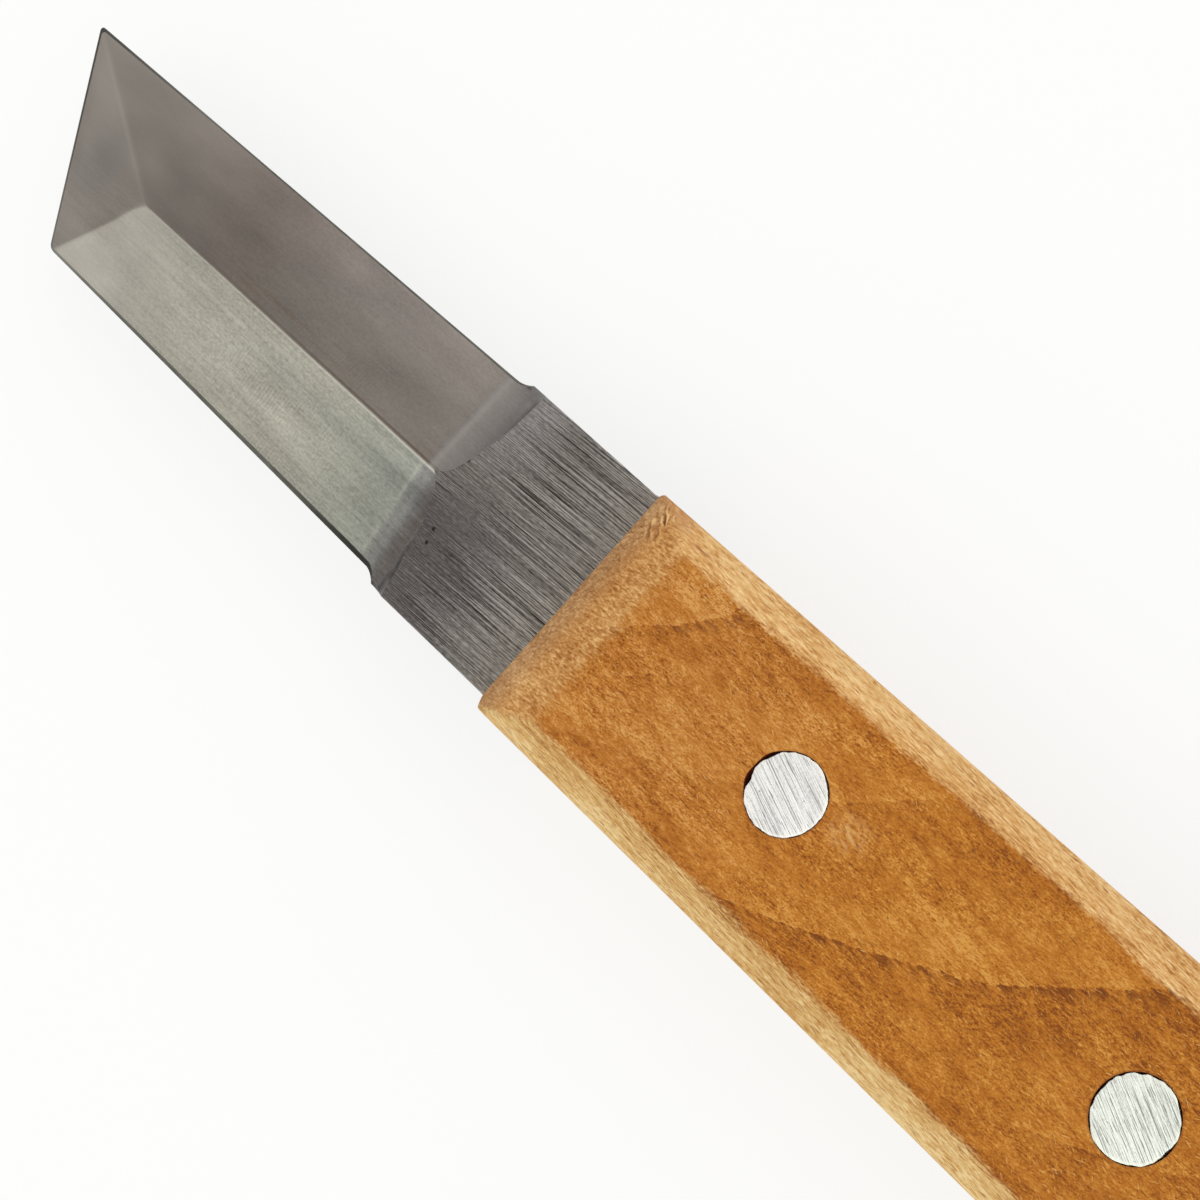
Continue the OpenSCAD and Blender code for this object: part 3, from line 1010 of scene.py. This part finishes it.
def rivet_distance(s):
    """Distance from the axis of the nearest rivet."""
    first, _ = rivet_place(0)
    second, _ = rivet_place(1)
    pitch = first[0] - second[0]
    turns = s.math("FRACT", s.product(s.math("SUBTRACT", s.x, first[0] - pitch / 2), 1 / pitch))
    along = s.product(s.math("SUBTRACT", turns, 0.5), pitch)
    across = s.math("SUBTRACT", s.y, first[1])
    return s.math("SQRT", s.sum(s.product(along, along), (across, across)))


def scale_wood(name, shift):
    """Oiled wood: orange flat, paler bevels, slanting growth rings and a woolly surface."""
    s = new_shader(name, shift)
    _, _, facing_z = s.facing()
    mottle = s.noise(s.cells((7, 4, 5)), 3, 0.55)
    grain = s.noise(s.cells((0.55, 0.14, 0.2), 2), 1)
    for turn in (-20, 24):
        grain = s.sum(grain, (s.noise(s.cells((0.32, 0.12, 0.2), turn, (turn, 0, 0)), 1), 0.5))
    to_end = s.math("MINIMUM", s.product(s.x, -1), s.math("ADD", s.x, HANDLE_L))
    end_colour, relief = end_wood(s, to_end, mottle, grain)
    colour = flat_wood(s, mottle, grain)

    half = s.sum(FRONT_HALF - EDGE_BEVEL, (s.x, (FRONT_HALF - BUTT_HALF) / HANDLE_L))
    ragged = s.noise(s.cells((1.2, 0.5, 0.5)), 2, 0.6)
    drift = s.noise(s.cells((5, 3, 3)), 2)
    past_half = s.math("SUBTRACT", s.math("ABSOLUTE", s.y), half)
    down_side = s.sum(past_half, (drift, 1), (ragged, 0.8), (grain, 0.5))
    down_end = s.sum(END_DROP, (to_end, -END_DROP / END_BEVEL), (relief, 0.8), (ragged, 0.7))
    colour = s.mix(s.remap(down_side, -0.32, 0.36), colour, bevel_wood(s, mottle, grain))
    past_side = s.math("SUBTRACT", down_end, s.math("MAXIMUM", down_side, 0))
    colour = s.mix(s.remap(past_side, -0.25, 0.65), colour, end_colour)
    # Painted shade and painted highlights on the crushed fibres at a front corner
    colour = splinter_painted_shading(s, colour)

    from_rivet = rivet_distance(s)
    upright = s.remap(s.math("ABSOLUTE", facing_z), 0.3, 0.7, 1, 0)
    in_hole = s.product(upright, s.remap(from_rivet, 3.6, 4, 1, 0))
    # Hole walls and a thin ring around each rivet darkened: stain on the wood, and painted shade down in the
    # holes
    hole_stain_and_painted_shade = s.math("MAXIMUM", in_hole, s.remap(from_rivet, 3.03, 3.2, 0.35, 0))
    colour = s.mix(hole_stain_and_painted_shade, colour, srgb(100, 42, 26))
    scuffs = s.patches((0.7, 0.22, 0.4), -0.2, 0.15, -20)
    worn = s.product(s.bell(s.x, -28.6, 2.2), s.bell(s.y, -1.4, 1.8), scuffs)
    colour = s.mix(s.product(worn, 0.7), colour, srgb(222, 174, 114))
    rough = s.sum(0.62, (grain, 0.2))
    normal = s.bump(s.sum(0.5, (grain, 0.5), (relief, 0.3)), 0.05)
    return s.surface(Base_Color=colour, Roughness=rough, Specular_IOR_Level=0.2, Normal=normal)


def rivet_metal(name, turn, bite, tint):
    """Soft aluminium, filed flush, with a bright burr; the lower the bite, the more file marks."""
    s = new_shader(name)
    fine = s.noise(s.cells((4, 0.085, 1), turn), 0)
    grit = s.noise(s.cells((0.2, 0.1, 0.3), turn), 1)
    long = s.patches((6, 0.085, 1), bite, bite + 0.04, turn)
    short = s.patches((1.5, 0.08, 1), bite + 0.02, bite + 0.06, turn + 3, (5, 2, 0))
    grey = s.math("MAXIMUM", long, short)
    pits = s.patches((0.3, 0.17, 0.3), 0.22, 0.28, 10)
    burr = s.remap(rivet_distance(s), 2.72, 2.9)
    tone = s.sum(0.55, (fine, 1.7), (grit, 1.1))
    colour = s.ramp(tone, srgb(196, 194, 195), srgb(237, 234, 235), srgb(253, 252, 251))
    colour = s.mix(s.product(grey, 0.85), colour, srgb(140, 139, 139))
    colour = s.mix(s.product(pits, 0.7), colour, srgb(120, 119, 118))
    colour = s.mix(s.product(burr, 0.6), colour, srgb(252, 249, 244))
    colour = s.mix(1.0, colour, tint, "MULTIPLY")
    normal = s.bump(s.sum(0.5, (fine, 0.4), (grey, -0.4), (pits, -0.5)), 0.01)
    return s.surface(Base_Color=colour, Metallic=0.6, Roughness=0.5, Normal=normal)


# Stage


def make_floor():
    """White floor that keeps a soft shadow."""
    half, low = 1.5, -FLOOR_GAP * MM
    corners = [(-half, -half, low), (half, -half, low), (half, half, low), (-half, half, low)]
    mesh = bpy.data.meshes.new("floor")
    mesh.from_pydata(corners, [], [(0, 1, 2, 3)])
    floor = bpy.data.objects.new("floor", mesh)
    bpy.context.scene.collection.objects.link(floor)
    s = Shader(bpy.data.materials.new("floor"))
    matte = s.add("ShaderNodeBsdfDiffuse", {"Color": (0.92, 0.92, 0.92, 1)}).outputs[0]
    white = s.add("ShaderNodeEmission", {"Color": (1, 1, 1, 1), "Strength": 1.0}).outputs[0]
    path = s.add("ShaderNodeLightPath").outputs
    seen = s.math("MAXIMUM", path["Is Camera Ray"], path["Is Glossy Ray"])
    seen = s.math("MAXIMUM", seen, path["Is Transmission Ray"])
    mixed = s.add("ShaderNodeMixShader", {0: s.product(seen, 0.75), 1: matte, 2: white}).outputs[0]
    s.add("ShaderNodeOutputMaterial", {"Surface": mixed})
    mesh.materials.append(s.owner)


def make_light():
    """Bright soft surroundings, with two dim parts for the steel to reflect: ahead of it and above it."""
    world = bpy.data.worlds.new("surroundings")
    bpy.context.scene.world = world
    s = Shader(world)
    towards = s.add("ShaderNodeTexCoord").outputs["Generated"]

    def near(direction, inner, outer):
        inputs = {0: towards, 1: Vector(direction).normalized()}
        cosine = s.add("ShaderNodeVectorMath", inputs, operation="DOT_PRODUCT").outputs["Value"]
        return s.remap(cosine, math.cos(math.radians(outer)), math.cos(math.radians(inner)))

    above = near((0.55, -0.25, 0.8), 16, 35)
    ahead = near((0.97, 0.0, 0.22), 22, 48)
    dim = s.math("MAXIMUM", above, ahead)
    colour = s.mix(dim, (1.24, 1.26, 1.19, 1), (0.36, 0.335, 0.325, 1))
    background = s.add("ShaderNodeBackground", {"Color": colour}).outputs[0]
    s.add("ShaderNodeOutputWorld", {"Surface": background})


def make_camera():
    data = bpy.data.cameras.new("camera")
    data.lens = CAMERA_LENS
    data.clip_start = 0.01
    camera = bpy.data.objects.new("camera", data)
    bpy.context.scene.collection.objects.link(camera)
    aim = (CAMERA_AIM - CAMERA_AT).to_track_quat("-Z", "Y").to_matrix()
    turn = (aim @ Matrix.Rotation(CAMERA_TWIST, 3, "Z")).to_4x4()
    camera.matrix_world = Matrix.Translation(CAMERA_AT * MM) @ turn
    bpy.context.scene.camera = camera


def dress(piece, node):
    """Puts a piece in place of its solid."""
    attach(piece, "root")
    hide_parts(node)


make_camera()
make_floor()
make_light()

blade = make_blade()
cut_rivet_holes(blade, 11, STEEL_GAP, 0, STEEL_SHARP)
dress(blade, "blade")

upper = make_scale("upper_wood", 1, 1, scale_wood("upper_wood", (0, 0, 0)))
lower = make_scale("lower_wood", -1, 2, scale_wood("lower_wood", (57, 31, 40)))
for scale, node, seed in ((upper, "upper_scale", 20), (lower, "lower_scale", 40)):
    cut_rivet_holes(scale, seed, WOOD_GAP, 1, WOOD_SHARP)
    dress(scale, node)

for index, node in enumerate(RIVETS):
    metal = rivet_metal(node + "_metal", FILE_TURN[index], FILE_BITE[index], RIVET_TINT[index])
    dress(make_rivet(index, metal), node)

bpy.context.scene.view_settings.view_transform = "Standard"
